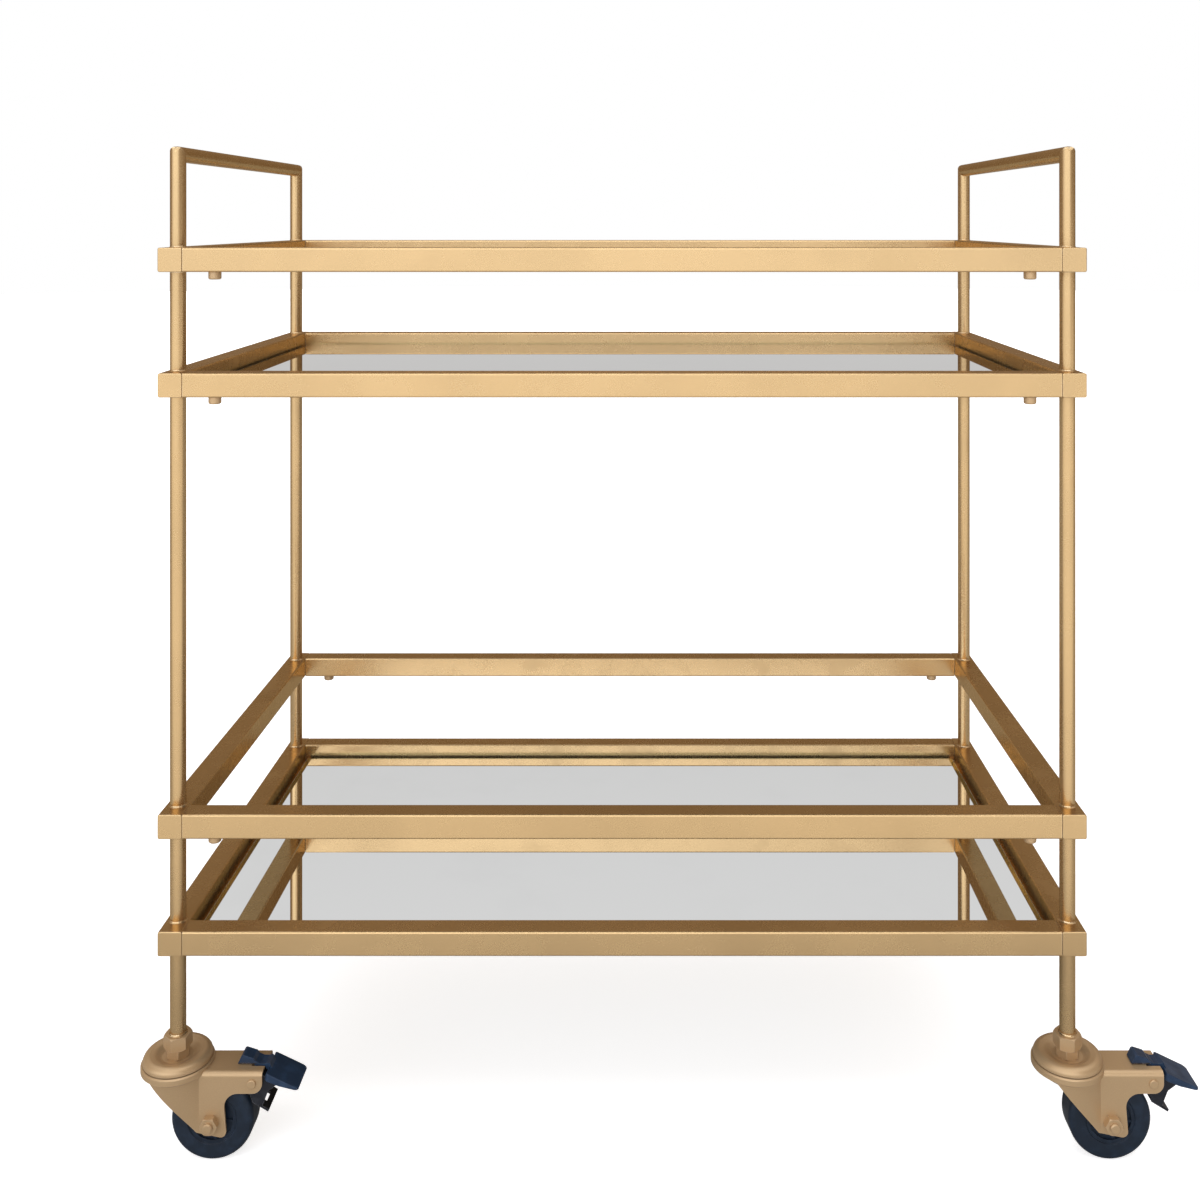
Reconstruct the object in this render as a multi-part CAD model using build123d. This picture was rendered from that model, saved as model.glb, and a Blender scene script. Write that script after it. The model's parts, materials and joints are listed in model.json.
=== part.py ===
"""Two-tier bar cart on four swivel casters, in millimetres.

+Z is up, the floor is z = 0, the long front side faces -Y, and the origin lies on the floor under
the middle of the frame. Two welded side frames carry eight long rails, two mirrored shelf panes
and four stem casters. The two front casters have a pedal brake.
"""
from build123d import *
import os
from math import cos, radians, sin, sqrt

os.makedirs("parts", exist_ok=True)

# ------------------------------------------------------------------ driving dimensions: frame
frame_width = 762.0
frame_depth = 406.0
overall_height = 838.0
rail_size = 20.0
rail_wall = 1.2
rail_edge_radius = 1.5
rail_tops = {"upper_guard": 754.0, "upper_shelf": 651.0, "lower_guard": 289.0, "lower_shelf": 193.0}
seam_gap = 0.4
end_plate_thickness = 1.5
post_diameter = 13.0
post_wall = 1.2
post_set_back = 20.0
post_hole_clearance = 0.1
handle_corner_radius = 4.5

# ------------------------------------------------------------------ driving dimensions: rail joints
insert_size = 17.2
insert_wall = 2.0
insert_length = 45.0
screw_diameter = 6.0
screw_set_in = 24.0
screw_shank = 9.0
tall_head = (10.4, 6.4)
low_head = (10.4, 2.4)
socket_across_flats = 5.0

# ------------------------------------------------------------------ driving dimensions: shelves
pane_gap = 4.0
pane_thickness = 5.0
pane_drop = 12.0
pane_bevel_width = 5.0
pane_bevel_depth = 1.0
pane_corner_radius = 3.0
ledge_width = 14.0
ledge_thickness = 2.0
pad_diameter = 10.0
pad_x_places = (-250.0, 0.0, 250.0)
pad_y_places = (-90.0, 90.0)

# ------------------------------------------------------------------ driving dimensions: casters
wheel_radius = 34.0
wheel_trail = 32.0
tyre_width = 24.0
hub_radius = 20.0
hub_boss_radius = 10.0
hub_width = 27.0
hub_web = 18.0
hub_ring_width = 22.0
hub_rib_count = 5
axle_diameter = 8.0
sleeve_diameter = 11.0
running_clearance = 0.05
fork_gap = 28.0
fork_sheet = 2.0
fork_top = 75.5
fork_tail = 74.5
fork_crease = 22.6
crown_radius = 29.5
crown_top = 77.5
cap_radius = 28.0
cap_bottom = 78.2
cap_crest = 84.0
cap_floor = 80.5
ball_diameter = 6.0
ball_circle_radius = 20.5
ball_count = 12
ball_centre = 78.0
race_clearance = 0.3
stem_diameter = 10.0
stem_top = 128.0
stem_rivet_bottom = 70.0
collar_flats = 17.0
collar_height = 7.5
end_nut_flats = 20.0
end_nut_height = 11.0
end_nut_turns = {"left": 20.0, "right": -18.0}
brake_pivot = (66.0, 66.0)
brake_pin_diameter = 5.0
brake_travel = 10.0
pedal_half_width = 15.0
tongue_half_width = 6.0

# ------------------------------------------------------------------ places that follow from them
half_width = frame_width / 2
half_depth = frame_depth / 2
post_x = half_width - rail_size / 2
post_y = half_depth - post_set_back
post_radius = post_diameter / 2
long_rail_y = half_depth - rail_size / 2
inner_x = half_width - rail_size
inner_y = half_depth - rail_size
handle_axis = overall_height - post_radius
end_nut_bottom = cap_floor + collar_height
post_bottom = end_nut_bottom + end_nut_height
fork_half_width = fork_gap / 2 + fork_sheet
sides = {"left": -1, "right": 1}
ends = {"front": -1, "rear": 1}
corners = [(end, side) for end in ends for side in sides]
trail_turn = {("front", "left"): 0, ("front", "right"): 0, ("rear", "left"): 180, ("rear", "right"): 0}


def save(name, *solids):
    """Write one node: a single solid, or a group of separate ones."""
    shape = solids[0] if len(solids) == 1 else Compound(list(solids))
    export_step(shape, f"parts/{name}.step")


def one(shape):
    """The only solid of a boolean result."""
    [solid] = shape.solids()
    return solid


# ------------------------------------------------------------------ frame pieces
def square_tube(size, wall, edge_radius):
    """Cross-section of a square tube with rounded edges."""
    bore = size - 2 * wall
    return RectangleRounded(size, size, edge_radius) - RectangleRounded(bore, bore, 0.4)


def side_rail(side, top):
    """A front-to-back rail, drilled from top to bottom for the two posts that pass through it."""
    section = square_tube(rail_size, rail_wall, rail_edge_radius)
    length = frame_depth - 2 * end_plate_thickness
    rail = extrude(Plane.XZ * section, length / 2, both=True)
    for y in (-post_y, post_y):
        rail -= Pos(0, y, 0) * Cylinder(post_radius + post_hole_clearance, rail_size + 2)
    return Pos(side * post_x, 0, top - rail_size / 2) * one(rail)


def rail_end_plate(side, end, top):
    """The square plate that closes one end of a side rail."""
    plate = extrude(RectangleRounded(rail_size, rail_size, rail_edge_radius), end_plate_thickness)
    plate = fillet(plate.faces().sort_by(Axis.Z)[-1].edges(), end_plate_thickness / 2)
    plate = Rot(X=-90 * end) * plate
    return Pos(side * post_x, end * (half_depth - end_plate_thickness), top - rail_size / 2) * plate


def long_rail(end, top):
    """A left-to-right rail between the side rails, drilled underneath for its two screws."""
    section = square_tube(rail_size, rail_wall, rail_edge_radius)
    rail = extrude(Plane.YZ * section, inner_x - seam_gap, both=True)
    for side in sides.values():
        place = Pos(side * (inner_x - screw_set_in), 0, -rail_size / 2)
        rail -= place * Cylinder(screw_diameter / 2 + 0.2, rail_wall * 4)
    return Pos(0, end * long_rail_y, top - rail_size / 2) * one(rail)


def rail_insert(side, end, top):
    """The stub welded to a side rail, over which a long rail slides."""
    stub = extrude(Plane.YZ * square_tube(insert_size, insert_wall, 0.6), insert_length / 2, both=True)
    drill = Pos(side * (insert_length / 2 - screw_set_in), 0, -insert_size / 2)
    stub -= drill * Cylinder(screw_diameter / 2 + running_clearance, insert_wall * 3)
    middle = side * (inner_x - insert_length / 2)
    return Pos(middle, end * long_rail_y, top - rail_size / 2) * one(stub)


def rail_screw(side, end, top, head):
    """A hexagon-socket screw driven upwards through a long rail into its insert."""
    diameter, height = head
    cap = Cylinder(diameter / 2, height, align=(Align.CENTER, Align.CENTER, Align.MAX))
    cap = fillet(cap.edges().group_by(Axis.Z)[0], height / 4)
    socket_depth = height / 2
    socket = extrude(RegularPolygon(socket_across_flats / sqrt(3), 6), socket_depth)
    shank = Cylinder(screw_diameter / 2, screw_shank, align=(Align.CENTER, Align.CENTER, Align.MIN))
    screw = cap + shank - Pos(0, 0, -height) * socket
    return Pos(side * (inner_x - screw_set_in), end * long_rail_y, top - rail_size) * one(screw)


def corner_envelope():
    """The outline, seen from the side, that the two handle corners are ground to."""
    outline = Pos(0, overall_height / 2) * Rectangle(2 * (post_y + post_radius), overall_height)
    top_corners = outline.vertices().group_by(Axis.Y)[-1]
    return extrude(Plane.YZ * fillet(top_corners, handle_corner_radius), frame_width, both=True)


def mitre_plane(side, end):
    """The 45 degree plane in which a post and the handle bar meet."""
    return Plane(origin=(side * post_x, end * post_y, handle_axis), z_dir=(0, -end, 1))


def post(side, end):
    """An upright tube from the caster's end nut to the mitre at the handle bar."""
    height = overall_height + post_diameter - post_bottom
    standing = (Align.CENTER, Align.CENTER, Align.MIN)
    tube = Cylinder(post_radius, height, align=standing)
    tube -= Cylinder(post_radius - post_wall, height, align=standing)
    tube = Pos(side * post_x, end * post_y, post_bottom) * tube
    tube = split(tube, bisect_by=mitre_plane(side, end), keep=Keep.BOTTOM)
    return one(tube & corner_envelope())


def handle_bar(side):
    """The push bar that joins the tops of one side's two posts."""
    reach = 2 * (post_y + post_diameter)
    tube = Cylinder(post_radius, reach) - Cylinder(post_radius - post_wall, reach)
    tube = Pos(side * post_x, 0, handle_axis) * Rot(X=90) * tube
    for end in ends.values():
        tube = split(tube, bisect_by=mitre_plane(side, end), keep=Keep.TOP)
    return one(tube & corner_envelope())


# ------------------------------------------------------------------ shelf pieces
def pane(top):
    """A mirrored glass shelf with a wide bevel round its upper edge."""
    width = 2 * (inner_x - pane_gap)
    depth = 2 * (inner_y - pane_gap)
    slab = extrude(RectangleRounded(width, depth, pane_corner_radius), pane_thickness - pane_bevel_depth)
    lower = RectangleRounded(width, depth, pane_corner_radius)
    upper = RectangleRounded(width - 2 * pane_bevel_width, depth - 2 * pane_bevel_width, 1.0)
    bevel = loft([Pos(0, 0, pane_thickness - pane_bevel_depth) * lower, Pos(0, 0, pane_thickness) * upper])
    return Pos(0, 0, top - pane_drop - pane_thickness) * one(slab + bevel)


def shelf_ledges(top):
    """Flat strips along the rails' lower edges, under the rim of one pane."""
    low = top - rail_size + ledge_thickness / 2
    long_strip = Box(2 * (inner_x - seam_gap), ledge_width, ledge_thickness)
    side_strip = Box(ledge_width, 2 * (inner_y - ledge_width - seam_gap), ledge_thickness)
    strips = [Pos(0, end * (inner_y - ledge_width / 2), low) * long_strip for end in ends.values()]
    return strips + [Pos(side * (inner_x - ledge_width / 2), 0, low) * side_strip for side in sides.values()]


def pad_places():
    """Middles of the soft pads on the ledges under one pane."""
    for end in ends.values():
        for x in pad_x_places:
            yield x, end * (inner_y - ledge_width / 2)
    for side in sides.values():
        for y in pad_y_places:
            yield side * (inner_x - ledge_width / 2), y


def shelf_pads(top):
    """Soft discs between the ledges and one pane."""
    low = top - rail_size + ledge_thickness
    height = rail_size - ledge_thickness - pane_drop - pane_thickness
    disc = Cylinder(pad_diameter / 2, height, align=(Align.CENTER, Align.CENTER, Align.MIN))
    return [Pos(x, y, low) * disc for x, y in pad_places()]


# ------------------------------------------------------------------ caster pieces, swivel axis on Z
def hexagon_prism(across_flats, height, chamfer_share=0.06):
    """A hexagon standing on z = 0, with the corners of its two ends turned off."""
    turned_radius = across_flats / sqrt(3)
    turned = Cylinder(turned_radius, height, align=(Align.CENTER, Align.CENTER, Align.MIN))
    turned = chamfer(turned.edges().filter_by(GeomType.CIRCLE), across_flats * chamfer_share)
    return extrude(RegularPolygon(turned_radius, 6), height) & turned


def end_nut(side):
    """The threaded nut welded to the bottom of a post."""
    nut = hexagon_prism(end_nut_flats, end_nut_height)
    nut -= Cylinder(stem_diameter / 2 + 0.1, 3 * end_nut_height)
    return Pos(0, 0, end_nut_bottom) * Rot(Z=end_nut_turns[side]) * one(nut)


def stem(side):
    """The caster's stem: thread, hexagon collar, king pin and the rivet head under the fork."""
    standing = (Align.CENTER, Align.CENTER, Align.MIN)
    shaft = Cylinder(stem_diameter / 2, stem_top - stem_rivet_bottom, align=standing)
    shaft = Pos(0, 0, stem_rivet_bottom) * chamfer(shaft.edges().group_by(Axis.Z)[-1], 1.0)
    collar = Rot(Z=-end_nut_turns[side] / 2) * hexagon_prism(collar_flats, collar_height)
    collar = Pos(0, 0, cap_floor) * collar
    rivet_height = fork_top - fork_sheet - race_clearance - stem_rivet_bottom
    rivet = Pos(0, 0, stem_rivet_bottom) * Cylinder(7.5, rivet_height, align=standing)
    rivet = fillet(rivet.edges().group_by(Axis.Z)[0], 1.5)
    return one(shaft + collar + rivet)


def swivel_cap():
    """The domed ring above the balls, dished in the middle for the stem's collar."""
    bore = stem_diameter / 2 + running_clearance
    dish_edge = 12.5
    crest = (ball_circle_radius + 0.5, cap_crest)
    floor = [(dish_edge, cap_floor), (bore, cap_floor), (bore, cap_bottom), (cap_radius, cap_bottom)]
    outline = Polyline(*floor)
    rim = Line((cap_radius, cap_bottom), (cap_radius, cap_bottom + 1))
    outer = TangentArc((cap_radius, cap_bottom + 1), crest, tangent=(0, 1))
    inner = Spline(crest, (dish_edge, cap_floor), tangents=((-1, 0), (-1, -0.2)))
    profile = make_face(outline + rim + outer + inner)
    ring = revolve(Plane.XZ * profile, Axis.Z)
    return one(ring - Pos(0, 0, ball_centre) * Torus(ball_circle_radius, ball_diameter / 2 + race_clearance))


def swivel_balls():
    """The ring of bearing balls between the fork's crown and the cap."""
    step = 360 / ball_count
    places = [Rot(Z=step * turn) * Pos(ball_circle_radius, 0, ball_centre) for turn in range(ball_count)]
    return [place * Sphere(ball_diameter / 2) for place in places]


def fork_outline(braked):
    """Side view of the fork in the plane of trail and height."""
    nose = [(-16, fork_top), (-16, fork_top - 4), (21, 26)]
    toe = (45.5, 21)
    tail = [(42.5, 58), (fork_tail, 58), (fork_tail, fork_top)] if braked else [(41, 62), (33, fork_top)]
    outline = Polygon(*nose, toe, *tail, align=None)
    rounding = {(21, 26): 3, toe: 4.5, tail[0]: 11 if braked else 14}
    if braked:
        rounding[(fork_tail, 58)] = 8
    for place, radius in rounding.items():
        corner = min(outline.vertices(), key=lambda v: (v.X - place[0]) ** 2 + (v.Y - place[1]) ** 2)
        outline = fillet(corner, radius)
    return outline


def flared_leg_front(braked):
    """The front of the near leg, from its crease on: straight at the foot, round under the crown."""
    front_end = -20.0
    levels = {fork_top - 1: (10.5, 4.5), 20.0: (1.0, 0.0)}
    sections = []
    for height, (bulge, end_spread) in levels.items():
        arcs = []
        for y in (fork_half_width, fork_half_width - fork_sheet):
            middle = (fork_crease + front_end) / 2, -y - bulge
            arcs.append(ThreePointArc((fork_crease, -y), middle, (front_end, -y - end_spread)))
        ends = [Line(arcs[0] @ place, arcs[1] @ place) for place in (0, 1)]
        sections.append(Plane.XY.offset(height) * make_face(arcs + ends))
    front = loft(sections, ruled=True)
    return front & extrude(Plane.XZ * fork_outline(braked), 2 * fork_half_width, both=True)


def fork(braked):
    """The pressed fork: a channel with two legs under a round crown that holds the lower race."""
    reach = 100.0
    lap = 0.6
    outer = Pos(0, (fork_top - reach) / 2) * Rectangle(2 * fork_half_width, fork_top + reach)
    outer = fillet(outer.vertices().group_by(Axis.Y)[-1], 4.0)
    inner = Pos(0, (fork_top - fork_sheet - reach) / 2) * Rectangle(fork_gap, fork_top - fork_sheet + reach)
    inner = fillet(inner.vertices().group_by(Axis.Y)[-1], 2.0)
    channel = extrude(Plane.YZ * (outer - inner), reach, both=True)
    channel -= Pos(fork_crease - lap - reach, 0, fork_top / 2 - 4) * Box(2 * reach, 2 * reach, fork_top)
    body = channel & extrude(Plane.XZ * fork_outline(braked), fork_half_width, both=True)
    leg_front = flared_leg_front(braked)
    body += [leg_front, mirror(leg_front, about=Plane.XZ)]

    bore = stem_diameter / 2 + running_clearance
    plate_bottom = fork_top - fork_sheet
    crown = [(bore, plate_bottom), (bore, fork_top), (15, fork_top), (16, crown_top)]
    crown += [(crown_radius - 1, crown_top), (crown_radius, crown_top - 1), (crown_radius, plate_bottom - 1)]
    crown += [(17.5, 63.5), (15.5, 64.5), (26, plate_bottom)]
    skirt = revolve(Plane.XZ * make_face(Polyline(*crown, close=True)), Axis.Z)
    wheel_room = Pos(reach - 10, 0, plate_bottom / 2) * Box(2 * reach, fork_gap, plate_bottom)
    body = body + (skirt - wheel_room)

    body -= Pos(0, 0, ball_centre) * Torus(ball_circle_radius, ball_diameter / 2 + race_clearance)
    body -= Cylinder(bore, 3 * fork_top)
    body -= Pos(wheel_trail, 0, wheel_radius) * Rot(X=90) * Cylinder(axle_diameter / 2 + 0.1, reach)
    if braked:
        pivot_x, pivot_z = brake_pivot
        body -= Pos(pivot_x, 0, pivot_z) * Rot(X=90) * Cylinder(brake_pin_diameter / 2 + 0.1, reach)
        slot_length = fork_tail - 63.5
        body -= Pos(fork_tail - slot_length / 2, 0, fork_top) * Box(slot_length, 15, 3 * fork_sheet)
    return one(body)


def axle_fasteners():
    """The axle bolt, its head on +Y, and the nut on -Y."""
    head_height, nut_height, tip = 5.3, 6.0, 2.5
    lying = Pos(wheel_trail, 0, wheel_radius) * Rot(X=90)
    flats = 13.0
    shank_length = 2 * fork_half_width + nut_height + tip
    shank = Cylinder(axle_diameter / 2, shank_length, align=(Align.CENTER, Align.CENTER, Align.MIN))
    shank = chamfer(shank.edges().group_by(Axis.Z)[-1], 0.8)
    head = Pos(0, 0, -head_height) * hexagon_prism(flats, head_height)
    bolt = Pos(0, 0, -fork_half_width) * (shank + head)
    nut = hexagon_prism(flats, nut_height) - Cylinder(axle_diameter / 2 + running_clearance, 3 * nut_height)
    return [lying * one(bolt), lying * Pos(0, 0, fork_half_width) * one(nut)]


def axle_sleeve():
    """The tube between the fork's legs on which the hub turns."""
    tube = Cylinder(sleeve_diameter / 2, fork_gap) - Cylinder(axle_diameter / 2 + 0.1, fork_gap)
    return Pos(wheel_trail, 0, wheel_radius) * Rot(X=90) * one(tube)


def wheel_revolve(points):
    """Turn a closed outline of (radius, offset from the wheel's middle) about the axle."""
    profile = make_face(Polyline(*points, close=True))
    return Pos(wheel_trail, 0, wheel_radius) * Rot(X=90) * revolve(Plane.XZ * profile, Axis.Z)


def hub():
    """The moulded wheel centre: boss, shallow web with ribs, and the ring under the tyre."""
    bore = sleeve_diameter / 2 + running_clearance
    boss, web, ring_bore, ring = hub_width / 2, hub_web / 2, hub_radius - 2.5, hub_ring_width / 2
    half = [(bore, boss), (hub_boss_radius, boss), (hub_boss_radius, web), (ring_bore, web)]
    half += [(ring_bore, ring), (hub_radius, ring)]
    centre = wheel_revolve(half + [(r, -z) for r, z in reversed(half)])
    rib_length = ring_bore - hub_boss_radius + 1
    rib = Pos((ring_bore + hub_boss_radius) / 2, 0, 0) * Box(rib_length, 2.0, hub_ring_width - 1.6)
    lying = Pos(wheel_trail, 0, wheel_radius) * Rot(X=90)
    for turn in range(hub_rib_count):
        centre += lying * Rot(Z=-8 + 360 / hub_rib_count * turn) * rib
    return one(centre)


def tyre():
    """The tread ring, with rounded shoulders and a small chamfer beside the hub."""
    half = tyre_width / 2
    right = [(hub_radius, half - 0.8), (hub_radius + 0.8, half), (wheel_radius, half)]
    ring = wheel_revolve(right + [(r, -z) for r, z in reversed(right)])
    tread = [edge for edge in ring.edges().filter_by(GeomType.CIRCLE) if edge.radius > wheel_radius - 0.1]
    return one(fillet(tread, 4.0))


def brake_plate(start, stop, thickness, half_width):
    """A flat plate across the caster between two points of its side view."""
    (x1, z1), (x2, z2) = start, stop
    length = sqrt((x2 - x1) ** 2 + (z2 - z1) ** 2)
    middle = ((x1 + x2) / 2, 0, (z1 + z2) / 2)
    sheet = Plane(origin=middle, x_dir=(x2 - x1, 0, z2 - z1), z_dir=(z1 - z2, 0, x2 - x1))
    return sheet * Box(length, 2 * half_width, thickness)


def resting_shoe_point():
    """Where the shoe's edge rests with the brake off, turned back from its touch on the tyre."""
    pivot_x, pivot_z = brake_pivot
    touch = radians(29.0)
    reach = wheel_radius + race_clearance
    x = wheel_trail + reach * cos(touch) - pivot_x
    z = wheel_radius + reach * sin(touch) - pivot_z
    back = radians(brake_travel)
    return pivot_x + x * cos(back) - z * sin(back), pivot_z + x * sin(back) + z * cos(back)


def brake_lever():
    """The steel lever: two cheeks on the pivot pin, a slotted shoe, a tail and a release arm."""
    shoe_x, shoe_z = resting_shoe_point()
    cheek_outer, cheek_inner = 13.0, 11.4
    outline = [(61, 71), (61.5, 61), (shoe_x + 1.2, shoe_z), (shoe_x + 9, shoe_z - 4.7)]
    outline += [(79, 58.5), (86.5, 64), (85, 67.5), (72, 72)]
    cheek = Plane.XZ * Polygon(*outline, align=None)
    cheeks = extrude(cheek, cheek_outer, both=True) - extrude(cheek, cheek_inner, both=True)
    shoe_end = (shoe_x + 14.5, shoe_z - 8)
    shoe = brake_plate((shoe_x + 1.2, shoe_z), shoe_end, fork_sheet, cheek_outer)
    slot = Pos(shoe_x + 9.5, 0, shoe_z - 5) * Box(3, 11, 12)
    tail = brake_plate((71, 71.3), (90, 65), fork_sheet, cheek_outer)
    arm = brake_plate((66.6, 76.7), (72.5, 70.8), 1.0, 4.5)
    release = brake_plate((52.2, 76.6), (67, 76.6), 0.9, 6.0)
    pivot_x, pivot_z = brake_pivot
    pin_hole = Pos(pivot_x, 0, pivot_z) * Rot(X=90) * Cylinder(brake_pin_diameter / 2 + running_clearance, 40)
    return one(cheeks + (shoe - slot) + tail + arm + release - pin_hole)


def brake_pedal(lever):
    """The moulded pedal: a wedge pad round the lever's tail, and a tongue with a raised lip."""
    pad_side = [(77.6, 73.9), (104.4, 61.2), (103.6, 59.4), (88, 63.2), (75.4, 68.2)]
    pad = extrude(Plane.XZ * Polygon(*pad_side, align=None), pedal_half_width, both=True)
    length = pad_side[1][0] - pad_side[4][0]
    plan = Pos(pad_side[4][0] + length / 2, 0) * RectangleRounded(length, 2 * pedal_half_width, 4.0)
    pad = fillet((pad & extrude(plan, fork_top)).edges(), 0.6)
    tongue_side = [(51.6, 76.4), (54.8, 83.0), (56.4, 83.4), (64.6, 80.8), (66.6, 78.2), (70.5, 76.4)]
    tongue_side += [(74.5, 76.4), (78, 77.2), (80.5, 71.8), (76, 71.5), (74.5, 74), (67, 74), (65, 76.4)]
    tongue = extrude(Plane.XZ * Polygon(*tongue_side, align=None), tongue_half_width, both=True)
    return one(pad + tongue - lever)


def brake_pin():
    """The rivet through the fork's two legs on which the lever turns."""
    head = Pos(0, 0, fork_half_width) * Cylinder(3.7, 1.4, align=(Align.CENTER, Align.CENTER, Align.MIN))
    head = fillet(head.edges().group_by(Axis.Z)[-1], 0.9)
    rivet = Cylinder(brake_pin_diameter / 2, 2 * fork_half_width) + head + Rot(X=180) * head
    pivot_x, pivot_z = brake_pivot
    return Pos(pivot_x, 0, pivot_z) * Rot(X=90) * one(rivet)


# ------------------------------------------------------------------ assembly
def build_frame():
    inserts, screws, plates = [], [], []
    for level, top in rail_tops.items():
        head = low_head if level == "lower_shelf" else tall_head
        for side_name, side in sides.items():
            save(f"{side_name}_{level}_side_rail", side_rail(side, top))
            for end in ends.values():
                plates.append(rail_end_plate(side, end, top))
                inserts.append(rail_insert(side, end, top))
                screws.append(rail_screw(side, end, top, head))
        for end_name, end in ends.items():
            save(f"{end_name}_{level}_long_rail", long_rail(end, top))
    save("side_rail_end_plates", *plates)
    save("rail_joining_inserts", *inserts)
    save("rail_joint_screws", *screws)
    for end_name, side_name in corners:
        save(f"{end_name}_{side_name}_post", post(sides[side_name], ends[end_name]))
    for side_name, side in sides.items():
        save(f"{side_name}_handle_bar", handle_bar(side))


def build_shelves():
    ledges, pads = [], []
    for shelf in ("upper_shelf", "lower_shelf"):
        top = rail_tops[shelf]
        save(f"{shelf}_mirror_pane", pane(top))
        ledges += shelf_ledges(top)
        pads += shelf_pads(top)
    save("shelf_support_ledges", *ledges)
    save("shelf_pads", *pads)


def build_casters():
    nuts, stems, caps, balls = [], [], [], []
    lever = brake_lever()
    pedal = brake_pedal(lever)
    for end_name, side_name in corners:
        name = f"{end_name}_{side_name}"
        place = Pos(sides[side_name] * post_x, ends[end_name] * post_y, 0)
        nuts.append(place * end_nut(side_name))
        stems.append(place * stem(side_name))
        caps.append(place * swivel_cap())
        balls += [place * ball for ball in swivel_balls()]
        place *= Rot(Z=trail_turn[end_name, side_name])
        braked = end_name == "front"
        save(f"{name}_caster_fork", place * fork(braked))
        save(f"{name}_axle_bolt_and_nut", *[place * piece for piece in axle_fasteners()])
        save(f"{name}_axle_sleeve", place * axle_sleeve())
        save(f"{name}_wheel_hub", place * hub())
        save(f"{name}_tyre", place * tyre())
        if braked:
            save(f"{name}_brake_lever", place * lever)
            save(f"{name}_brake_pedal", place * pedal)
            save(f"{name}_brake_pivot_pin", place * brake_pin())
    save("post_end_nuts", *nuts)
    save("caster_stems", *stems)
    save("swivel_caps", *caps)
    save("swivel_bearing_balls", *balls)


build_frame()
build_shelves()
build_casters()
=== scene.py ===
"""Looks of the bar cart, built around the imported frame. Metres, +Z up, the front side faces -Y."""
import json
import math

import bmesh
import bpy
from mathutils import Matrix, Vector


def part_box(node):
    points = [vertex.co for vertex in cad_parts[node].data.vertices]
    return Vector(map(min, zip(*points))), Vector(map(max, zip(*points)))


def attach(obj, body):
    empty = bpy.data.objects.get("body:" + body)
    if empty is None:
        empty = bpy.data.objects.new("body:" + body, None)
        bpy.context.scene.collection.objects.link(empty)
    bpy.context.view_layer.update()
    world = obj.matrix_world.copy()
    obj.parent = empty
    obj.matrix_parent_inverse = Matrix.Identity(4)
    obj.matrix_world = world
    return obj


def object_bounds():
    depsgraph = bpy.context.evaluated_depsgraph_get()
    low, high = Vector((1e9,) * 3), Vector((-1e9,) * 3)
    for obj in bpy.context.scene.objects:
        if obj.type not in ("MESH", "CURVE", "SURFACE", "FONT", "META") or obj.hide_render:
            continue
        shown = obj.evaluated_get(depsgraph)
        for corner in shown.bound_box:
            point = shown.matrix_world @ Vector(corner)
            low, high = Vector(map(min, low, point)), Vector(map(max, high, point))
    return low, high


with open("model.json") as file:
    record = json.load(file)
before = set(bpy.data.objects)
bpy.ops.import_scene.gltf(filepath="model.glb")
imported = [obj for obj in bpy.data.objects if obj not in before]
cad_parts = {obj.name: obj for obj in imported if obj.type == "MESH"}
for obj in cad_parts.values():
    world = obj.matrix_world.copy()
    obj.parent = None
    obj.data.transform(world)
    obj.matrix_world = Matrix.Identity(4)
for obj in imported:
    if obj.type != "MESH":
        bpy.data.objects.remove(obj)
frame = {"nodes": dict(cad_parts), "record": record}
cad_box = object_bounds()
nodes = frame["nodes"]

CORNERS = [(end, side) for end in ("front", "rear") for side in ("left", "right")]
LEVELS = ("upper_guard", "upper_shelf", "lower_guard", "lower_shelf")

# Paint: noise scales are in waves per metre, distances in metres
PAINT_CLOUDS = 9.0
PAINT_FLAKES = 2600.0
PAINT_PEEL = 420.0
PAINT_FINE_PEEL = 1900.0
PAINT_HAND_MARKS = 26.0
# Patches along the edges of the painted highlight line
PAINT_EDGE_HIGHLIGHT_PATCHES = 70.0
PAINT_EDGE = 0.0012
PAINT_BUMP = 0.0004
PAINT_GLANCING_TINT = (0.78, 0.62, 0.42, 1.0)

# Plated steel
STEEL_PATCHES = 160.0
STEEL_EDGE_PATCHES = 200.0
STEEL_DULLING = 300.0
STEEL_TURNING_LINES = 900.0
STEEL_EDGE = 0.0005
STEEL_BUMP = 0.0002

# Moulded plastic and rubber
PLASTIC_CLOUDS = 120.0
PLASTIC_DUST_PATCHES = 240.0
PLASTIC_SCUFFS = 75.0
PLASTIC_GRAIN = 1500.0
PLASTIC_EDGE = 0.0008
PLASTIC_BUMP = 0.0003
DUST = (0.16, 0.18, 0.21, 1.0)

# Mirror panes
GLASS_HAZE = 14.0
GLASS_WAVES = 5.0
GLASS_ARRIS = 0.0015
GLASS_BUMP = 0.0005

# Weld beads: each ripple is a count of waves round the bead and their share of its size
BEAD_SIZE = 0.0011
BEAD_SINK = 0.0003
SHORT_RIPPLE = (17, 0.16)
LONG_RIPPLE = (5, 0.12)

# Studio
KEY_DIRECTION = (-0.34, -0.94, 0.0)
DIM_LEVEL = 0.28
BRIGHT_LEVEL = 1.2
FRONT_GAIN = 1.34
BAND_GAIN = 1.60
OVERHEAD_GAIN = 0.95
MIRRORED_GREY = 0.79
FLOOR_RADIUS = 14.0
FLOOR_GAP = 0.0002


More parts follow.
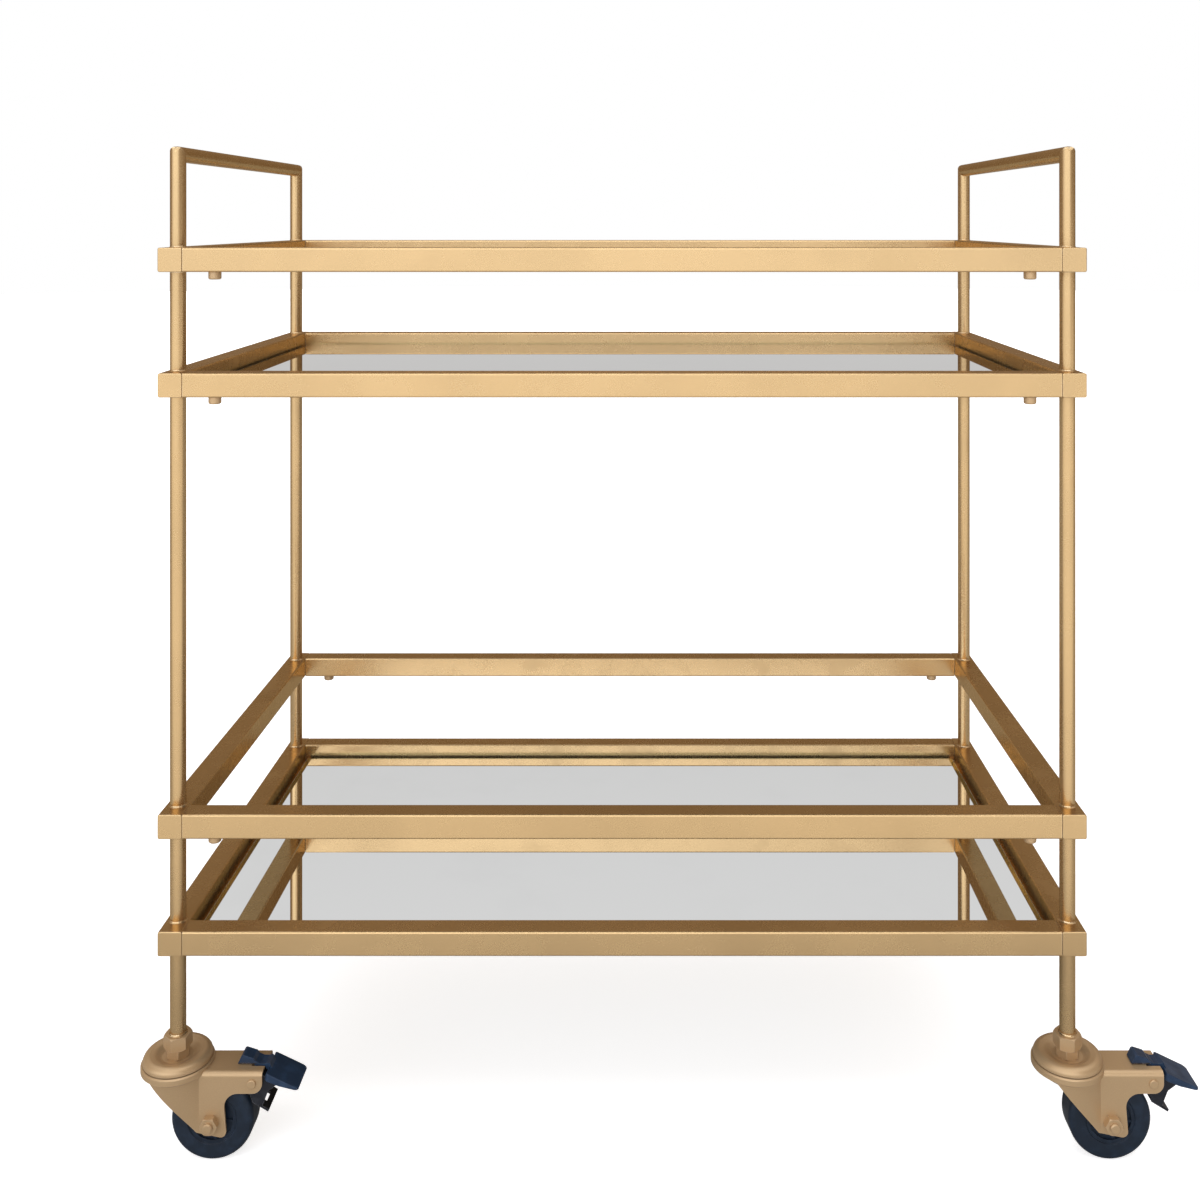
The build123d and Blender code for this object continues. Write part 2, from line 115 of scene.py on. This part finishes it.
# ------------------------------------------------------------------ material building
class Shader:
    """A material with a Principled surface, and short calls for the nodes that feed it."""

    def __init__(self, name):
        self.material = bpy.data.materials.new(name)
        self.material.use_nodes = True
        self.tree = self.material.node_tree
        self.surface = self.tree.nodes["Principled BSDF"]
        self.place = self.add("ShaderNodeTexCoord").outputs["Object"]

    def add(self, kind, **settings):
        node = self.tree.nodes.new(kind)
        for name, value in settings.items():
            setattr(node, name, value)
        return node

    def put(self, socket, value):
        if isinstance(value, bpy.types.NodeSocket):
            self.tree.links.new(value, socket)
        else:
            socket.default_value = value

    def set(self, **sockets):
        for name, value in sockets.items():
            self.put(self.surface.inputs[name.replace("_", " ")], value)

    def stretched(self, scale):
        node = self.add("ShaderNodeMapping")
        self.put(node.inputs["Vector"], self.place)
        node.inputs["Scale"].default_value = scale
        return node.outputs["Vector"]

    def noise(self, scale, detail=3.0, roughness=0.55, vector=None):
        node = self.add("ShaderNodeTexNoise")
        self.put(node.inputs["Vector"], vector or self.place)
        self.put(node.inputs["Scale"], scale)
        self.put(node.inputs["Detail"], detail)
        self.put(node.inputs["Roughness"], roughness)
        return node.outputs["Fac"]

    def cells(self, scale):
        """A random number for each small cell."""
        node = self.add("ShaderNodeTexVoronoi")
        self.put(node.inputs["Vector"], self.place)
        self.put(node.inputs["Scale"], scale)
        channels = self.add("ShaderNodeSeparateColor")
        self.put(channels.inputs[0], node.outputs["Color"])
        return channels.outputs[0]

    def axes(self, vector):
        node = self.add("ShaderNodeSeparateXYZ")
        self.put(node.inputs[0], vector)
        return node.outputs

    def remap(self, value, low, high, new_low, new_high):
        node = self.add("ShaderNodeMapRange", interpolation_type="SMOOTHSTEP")
        for index, number in enumerate((value, low, high, new_low, new_high)):
            self.put(node.inputs[index], number)
        return node.outputs["Result"]

    def math(self, operation, a, b=0.0):
        node = self.add("ShaderNodeMath", operation=operation)
        self.put(node.inputs[0], a)
        self.put(node.inputs[1], b)
        return node.outputs[0]

    def mix(self, share, a, b):
        node = self.add("ShaderNodeMix", data_type="RGBA")
        self.put(node.inputs[0], share)
        self.put(node.inputs[6], a)
        self.put(node.inputs[7], b)
        return node.outputs[2]

    def mix_numbers(self, share, a, b):
        node = self.add("ShaderNodeMix", data_type="FLOAT")
        self.put(node.inputs[0], share)
        self.put(node.inputs[2], a)
        self.put(node.inputs[3], b)
        return node.outputs[0]

    def edges(self, radius):
        """1 on convex and concave edges, 0 on flat faces."""
        rounded = self.add("ShaderNodeBevel", samples=4)
        rounded.inputs["Radius"].default_value = radius
        flat = self.add("ShaderNodeNewGeometry").outputs["Normal"]
        dot = self.add("ShaderNodeVectorMath", operation="DOT_PRODUCT")
        self.put(dot.inputs[0], rounded.outputs["Normal"])
        self.put(dot.inputs[1], flat)
        return self.remap(dot.outputs["Value"], 0.80, 0.995, 1.0, 0.0)

    def patchy_edges(self, radius, patches, low, high, least, most):
        """Edges whose strength changes from least to most along them."""
        strength = self.remap(self.noise(patches), low, high, least, most)
        return self.math("MULTIPLY", self.edges(radius), strength)

    def bump(self, height, strength, distance):
        node = self.add("ShaderNodeBump")
        self.put(node.inputs["Height"], height)
        self.put(node.inputs["Strength"], strength)
        self.put(node.inputs["Distance"], distance)
        self.put(self.surface.inputs["Normal"], node.outputs["Normal"])


def colour(r, g, b):
    return (r, g, b, 1.0)


def scaled(tint, share):
    return colour(*(channel * share for channel in tint[:3]))


def metallic_paint(name, tint, roughness, metal, wear_and_highlight_colour, coat):
    """Sprayed metallic paint: flakes, faint orange peel, hand marks, and edges coloured lighter in patches as
    a painted highlight line.
    """
    shader = Shader(name)
    cloud = shader.remap(shader.noise(PAINT_CLOUDS, 4.0), 0.35, 0.65, 0.0, 1.0)
    glint = shader.remap(shader.cells(PAINT_FLAKES), 0.55, 1.0, 0.0, 0.12)
    # Painted highlight: edges coloured lighter, in patches along them, stand in for the light line the
    # rounded edges catch.
    wear_and_highlight_edges = shader.patchy_edges(PAINT_EDGE, PAINT_EDGE_HIGHLIGHT_PATCHES, 0.42, 0.62, 0.45, 1.0)
    base = shader.mix(cloud, scaled(tint, 0.96), scaled(tint, 1.04))
    base = shader.mix(glint, base, scaled(tint, 1.5))
    base = shader.mix(shader.math("MULTIPLY", wear_and_highlight_edges, 0.70), base, wear_and_highlight_colour)

    marks = shader.remap(shader.noise(PAINT_HAND_MARKS, 6.0, 0.6), 0.45, 0.75, 0.0, 0.10)
    rough = shader.math("ADD", marks, roughness)
    rough = shader.math("ADD", rough, shader.math("MULTIPLY", glint, 0.25))
    shader.set(Base_Color=base, Roughness=rough, Metallic=metal, Specular_IOR_Level=0.06,
               Specular_Tint=PAINT_GLANCING_TINT, Coat_Weight=coat, Coat_Roughness=0.12)

    fine_peel = shader.math("MULTIPLY", shader.noise(PAINT_FINE_PEEL, 1.0), 0.35)
    peel = shader.math("ADD", shader.noise(PAINT_PEEL, 2.0), fine_peel)
    shader.bump(peel, 0.05, PAINT_BUMP)
    return shader.material


def plated_steel(name, tint, roughness, wear_and_highlight_colour=None):
    """Plated steel with fine turning lines, a few dull patches, and edges coloured lighter: worn plating and
    a painted highlight.
    """
    shader = Shader(name)
    patch = shader.remap(shader.noise(STEEL_PATCHES, 5.0), 0.4, 0.65, 0.0, 1.0)
    base = shader.mix(patch, scaled(tint, 0.85), scaled(tint, 1.1))
    # Edges coloured lighter: partly worn plating, partly a painted highlight.
    wear_and_highlight_edges = shader.patchy_edges(STEEL_EDGE, STEEL_EDGE_PATCHES, 0.40, 0.60, 0.2, 0.9)
    base = shader.mix(wear_and_highlight_edges, base, wear_and_highlight_colour or scaled(tint, 1.25))
    rough = shader.remap(shader.noise(STEEL_DULLING, 4.0), 0.3, 0.7, roughness, roughness + 0.14)
    shader.set(Base_Color=base, Roughness=rough, Metallic=1.0)
    lines = shader.noise(STEEL_TURNING_LINES, 2.0, vector=shader.stretched((0.2, 1.0, 3.0)))
    shader.bump(lines, 0.15, STEEL_BUMP)
    return shader.material


def moulded_plastic(name, tint, roughness, dust):
    """Moulded plastic or rubber: fine grain, scuffs, and pale dust along the edges."""
    shader = Shader(name)
    cloud = shader.remap(shader.noise(PLASTIC_CLOUDS, 5.0), 0.4, 0.7, 0.0, 1.0)
    base = shader.mix(cloud, tint, scaled(tint, 1.5))
    dusty = shader.patchy_edges(PLASTIC_EDGE, PLASTIC_DUST_PATCHES, 0.45, 0.7, 0.1, 1.0)
    base = shader.mix(shader.math("MULTIPLY", dusty, dust), base, DUST)
    rough = shader.remap(shader.noise(PLASTIC_SCUFFS, 4.0), 0.3, 0.7, roughness - 0.06, roughness + 0.1)
    shader.set(Base_Color=base, Roughness=rough, Specular_IOR_Level=0.32)
    shader.bump(shader.noise(PLASTIC_GRAIN, 3.0), 0.18, PLASTIC_BUMP)
    return shader.material


def mirror_pane(name):
    """Silvered glass: mirror on top, faintly green bevel and edge, dull arrises coloured paler as a painted
    highlight line, grey backing paint.
    """
    shader = Shader(name)
    upright = shader.axes(shader.add("ShaderNodeNewGeometry").outputs["Normal"])["Z"]
    bevel = shader.remap(upright, 0.985, 0.998, 1.0, 0.0)
    edge = shader.remap(upright, 0.4, 0.8, 1.0, 0.0)
    back = shader.remap(upright, -0.5, -0.7, 0.0, 1.0)
    silvered = shader.remap(upright, -0.5, -0.7, 1.0, 0.0)
    ground_arris_and_highlight = shader.edges(GLASS_ARRIS)
    haze = shader.remap(shader.noise(GLASS_HAZE, 5.0), 0.45, 0.8, 0.0, 1.0)

    base = shader.mix(haze, colour(0.86, 0.865, 0.865), colour(0.84, 0.845, 0.845))
    base = shader.mix(bevel, base, colour(0.70, 0.78, 0.68))
    base = shader.mix(edge, base, colour(0.16, 0.30, 0.22))
    base = shader.mix(back, base, colour(0.13, 0.13, 0.12))
    # Painted highlight: the dull ground arrises are coloured paler greenish, a thin light line along the
    # bevel edges.
    base = shader.mix(ground_arris_and_highlight, base, colour(0.55, 0.60, 0.53))
    rough = shader.math("ADD", shader.math("MULTIPLY", back, 0.6), shader.math("MULTIPLY", ground_arris_and_highlight, 0.30))
    metal = shader.math("MULTIPLY", silvered, shader.math("SUBTRACT", 1.0, ground_arris_and_highlight))
    shader.set(Base_Color=base, Roughness=rough, Metallic=metal, Specular_Tint=colour(0.74, 0.73, 0.72))
    shader.bump(shader.noise(GLASS_WAVES, 2.0), 0.02, GLASS_BUMP)
    return shader.material


NAVY = colour(0.0075, 0.0145, 0.026)

FINISHES = {
    # The edge colours of the gold finishes are painted highlight lines.
    "gold_paint": metallic_paint("gold_paint", colour(0.58, 0.395, 0.195), roughness=0.24, metal=0.88,
                                 wear_and_highlight_colour=colour(0.92, 0.74, 0.50), coat=0.0),
    "gold_hardware": metallic_paint("gold_hardware", colour(0.53, 0.36, 0.195), roughness=0.36, metal=0.45,
                                    wear_and_highlight_colour=colour(0.68, 0.51, 0.33), coat=0.18),
    "zinc_steel": plated_steel("zinc_steel", colour(0.55, 0.55, 0.56), roughness=0.28),
    "bearing_steel": plated_steel("bearing_steel", colour(0.70, 0.70, 0.71), roughness=0.10),
    # The dark steel's edge colour is bare steel where the plating wears, and a painted highlight.
    "dark_steel": plated_steel("dark_steel", colour(0.05, 0.052, 0.060), roughness=0.38,
                               wear_and_highlight_colour=colour(0.42, 0.43, 0.45)),
    "mirror_glass": mirror_pane("mirror_glass"),
    "clear_rubber": moulded_plastic("clear_rubber", colour(0.55, 0.55, 0.52), roughness=0.5, dust=0.2),
    "navy_hub": moulded_plastic("navy_hub", NAVY, roughness=0.38, dust=0.30),
    "navy_tyre": moulded_plastic("navy_tyre", NAVY, roughness=0.46, dust=0.25),
    "navy_pedal": moulded_plastic("navy_pedal", colour(0.016, 0.034, 0.068), roughness=0.36, dust=0.40),
}


def paint_nodes():
    """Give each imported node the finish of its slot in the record."""
    slots = {row["node"]: row["material_slot"] for row in frame["record"]["subparts"]}
    for name, node in nodes.items():
        node.data.materials.clear()
        node.data.materials.append(FINISHES[slots[name]])


paint_nodes()


# ------------------------------------------------------------------ new pieces
def new_piece(name, mesh, body, finish):
    """Link a finished bmesh as a piece that rides on a body."""
    data = bpy.data.meshes.new(name)
    bmesh.ops.recalc_face_normals(mesh, faces=mesh.faces)
    mesh.to_mesh(data)
    mesh.free()
    for face in data.polygons:
        face.use_smooth = True
    piece = bpy.data.objects.new(name, data)
    bpy.context.scene.collection.objects.link(piece)
    data.materials.append(FINISHES[finish])
    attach(piece, body)


def bead_profile(radius, size, arc_steps=6):
    """A bead's cross-section as (out, rise): a quarter-round fillet, sunk a little into its tube and face."""
    points = []
    for step in range(arc_steps + 1):
        lean = math.pi / 2 * step / arc_steps
        points.append((radius + size * (1 - math.sin(lean)), size * (1 - math.cos(lean))))
    points.append((radius - BEAD_SINK, size))
    points.append((radius - BEAD_SINK, -BEAD_SINK))
    points.append((radius + size, -BEAD_SINK))
    return points


def ring(mesh, centre, radius, up, phase, steps=72):
    """A rippled weld bead round a tube where it meets a flat face: up is 1 above the face, -1 below."""
    short_waves, short_height = SHORT_RIPPLE
    long_waves, long_height = LONG_RIPPLE
    rows = []
    for step in range(steps):
        turn = 2 * math.pi * step / steps
        ripple = short_height * math.sin(short_waves * turn + phase)
        ripple += long_height * math.sin(long_waves * turn + 2 * phase)
        row = []
        for out, rise in bead_profile(radius, BEAD_SIZE * (1 + ripple)):
            row.append(mesh.verts.new((centre[0] + out * math.cos(turn), centre[1] + out * math.sin(turn),
                                       centre[2] + up * rise)))
        rows.append(row)
    for near, far in zip(rows, rows[1:] + rows[:1]):
        for here in range(len(near)):
            beyond = (here + 1) % len(near)
            mesh.faces.new((near[here], far[here], far[beyond], near[beyond]))


def weld_beads():
    """Beads where each post passes through its side rails, and where it stands on its end nut."""
    for end, side in CORNERS:
        low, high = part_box(f"{end}_{side}_post")
        x, y = (low.x + high.x) / 2, (low.y + high.y) / 2
        radius = (high.x - low.x) / 2
        mesh = bmesh.new()
        for index, level in enumerate(LEVELS):
            rail_low, rail_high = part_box(f"{side}_{level}_side_rail")
            ring(mesh, (x, y, rail_high.z), radius, 1, index)
            ring(mesh, (x, y, rail_low.z), radius, -1, index + 0.5)
        ring(mesh, (x, y, low.z), radius, 1, 7)
        new_piece(f"{end}_{side}_post_welds", mesh, "cart_frame", "gold_paint")


weld_beads()


# ------------------------------------------------------------------ floor, light and camera
def studio_floor():
    """A pale floor that glows white where it is seen, and dimmer where the cart reflects it."""
    shader = Shader("pale_floor")
    seen = shader.add("ShaderNodeLightPath").outputs["Is Camera Ray"]
    grain = shader.mix(shader.noise(3.0), colour(0.78, 0.78, 0.78), colour(0.80, 0.80, 0.80))
    base = shader.mix(seen, colour(0.40, 0.40, 0.40), grain)
    distance = shader.add("ShaderNodeVectorMath", operation="LENGTH")
    shader.put(distance.inputs[0], shader.place)
    seen_glow = shader.remap(distance.outputs["Value"], 1.0, 5.0, 0.72, 1.0)
    depth = shader.axes(shader.place)["Y"]
    in_front = shader.remap(depth, -0.95, -0.30, 0.82, 0.10)
    far_in_front = shader.remap(depth, -3.5, -1.0, 0.12, 0.0)
    glow = shader.mix_numbers(seen, shader.math("ADD", in_front, far_in_front), seen_glow)
    shader.set(Base_Color=base, Roughness=0.8, Specular_IOR_Level=0.1,
               Emission_Color=colour(1.0, 0.995, 0.985), Emission_Strength=glow)
    mesh = bmesh.new()
    bmesh.ops.create_circle(mesh, cap_ends=True, segments=96, radius=FLOOR_RADIUS)
    data = bpy.data.meshes.new("studio_floor")
    mesh.to_mesh(data)
    mesh.free()
    floor = bpy.data.objects.new("studio_floor", data)
    floor.location.z = cad_box[0][2] - FLOOR_GAP
    data.materials.append(shader.material)
    bpy.context.scene.collection.objects.link(floor)


def studio_world():
    """Bright in front and overhead, dim and warm elsewhere, grey where mirrored sharply, white where seen."""
    world = bpy.data.worlds.new("studio")
    world.use_nodes = True
    bpy.context.scene.world = world
    tree = world.node_tree
    tree.nodes.clear()

    def node(kind, *values, **settings):
        made = tree.nodes.new(kind)
        for name, value in settings.items():
            setattr(made, name, value)
        for socket, value in zip(made.inputs, values):
            if isinstance(value, bpy.types.NodeSocket):
                tree.links.new(value, socket)
            else:
                socket.default_value = value
        return made

    def ramp(value, low, high, new_low, new_high):
        return node("ShaderNodeMapRange", value, low, high, new_low, new_high,
                    interpolation_type="SMOOTHSTEP").outputs[0]

    def calc(operation, a, b):
        return node("ShaderNodeMath", a, b, operation=operation).outputs[0]

    direction = node("ShaderNodeTexCoord").outputs["Generated"]
    height = node("ShaderNodeSeparateXYZ", direction).outputs["Z"]
    toward = node("ShaderNodeVectorMath", direction, KEY_DIRECTION, operation="DOT_PRODUCT").outputs["Value"]
    front = calc("MULTIPLY", ramp(toward, 0.35, 0.95, 0.0, FRONT_GAIN), ramp(height, 0.40, 0.85, 1.0, 0.35))
    band = calc("MULTIPLY", ramp(height, 0.10, 0.30, 0.0, 1.0), ramp(height, 0.34, 0.46, 1.0, 0.0))
    band = calc("MULTIPLY", band, ramp(toward, 0.55, 0.90, 0.0, BAND_GAIN))
    above = ramp(height, 0.50, 0.95, 0.0, OVERHEAD_GAIN)
    level = calc("ADD", calc("ADD", front, band), calc("ADD", above, DIM_LEVEL))
    red = ramp(level, DIM_LEVEL, BRIGHT_LEVEL, 1.0, 0.95)
    green = ramp(level, DIM_LEVEL, BRIGHT_LEVEL, 0.75, 1.0)
    blue = ramp(level, DIM_LEVEL, BRIGHT_LEVEL, 0.53, 1.10)
    light = node("ShaderNodeBackground", node("ShaderNodeCombineColor", red, green, blue).outputs[0], level)

    path = node("ShaderNodeLightPath")
    few_bounces = calc("LESS_THAN", path.outputs["Ray Depth"], 2.5)
    mirrored = calc("MULTIPLY", path.outputs["Is Singular Ray"], few_bounces)
    grey = node("ShaderNodeBackground", colour(1.0, 1.0, 1.0), MIRRORED_GREY)
    white = node("ShaderNodeBackground", colour(1.0, 1.0, 1.0), 1.0)
    shown = node("ShaderNodeMixShader", mirrored, light.outputs[0], grey.outputs[0])
    shown = node("ShaderNodeMixShader", path.outputs["Is Camera Ray"], shown.outputs[0], white.outputs[0])
    tree.links.new(shown.outputs[0], node("ShaderNodeOutputWorld").inputs["Surface"])


def strip_light(name, place, target, length=3.0, width=0.40, watts=9.0):
    """A long soft light across the studio, aimed at a target."""
    light = bpy.data.lights.new(name, "AREA")
    light.shape = "RECTANGLE"
    light.size = length
    light.size_y = width
    light.energy = watts
    lamp = bpy.data.objects.new(name, light)
    bpy.context.scene.collection.objects.link(lamp)
    lamp.location = place
    aim = Vector(target) - Vector(place)
    lamp.rotation_euler = aim.to_track_quat("-Z", "Y").to_euler()


def studio_camera():
    """Level camera square to the front side, just below the push bars, shifted down to frame the cart."""
    data = bpy.data.cameras.new("camera")
    data.sensor_width = 36.0
    data.lens = 39.64
    data.shift_x = -0.0433
    data.shift_y = -0.317
    camera = bpy.data.objects.new("camera", data)
    camera.location = (0.0244, -1.2857, 0.777)
    camera.rotation_euler = (math.radians(90), 0, 0)
    bpy.context.scene.collection.objects.link(camera)
    bpy.context.scene.camera = camera


studio_floor()
studio_world()
strip_light("top_strip", place=(0.0, -0.2, 3.2), target=(0.0, 0.0, 0.0))
strip_light("front_strip", place=(0.0, -1.9, 2.9), target=(0.0, 0.0, 0.2))
studio_camera()
bpy.context.scene.view_settings.view_transform = "Standard"
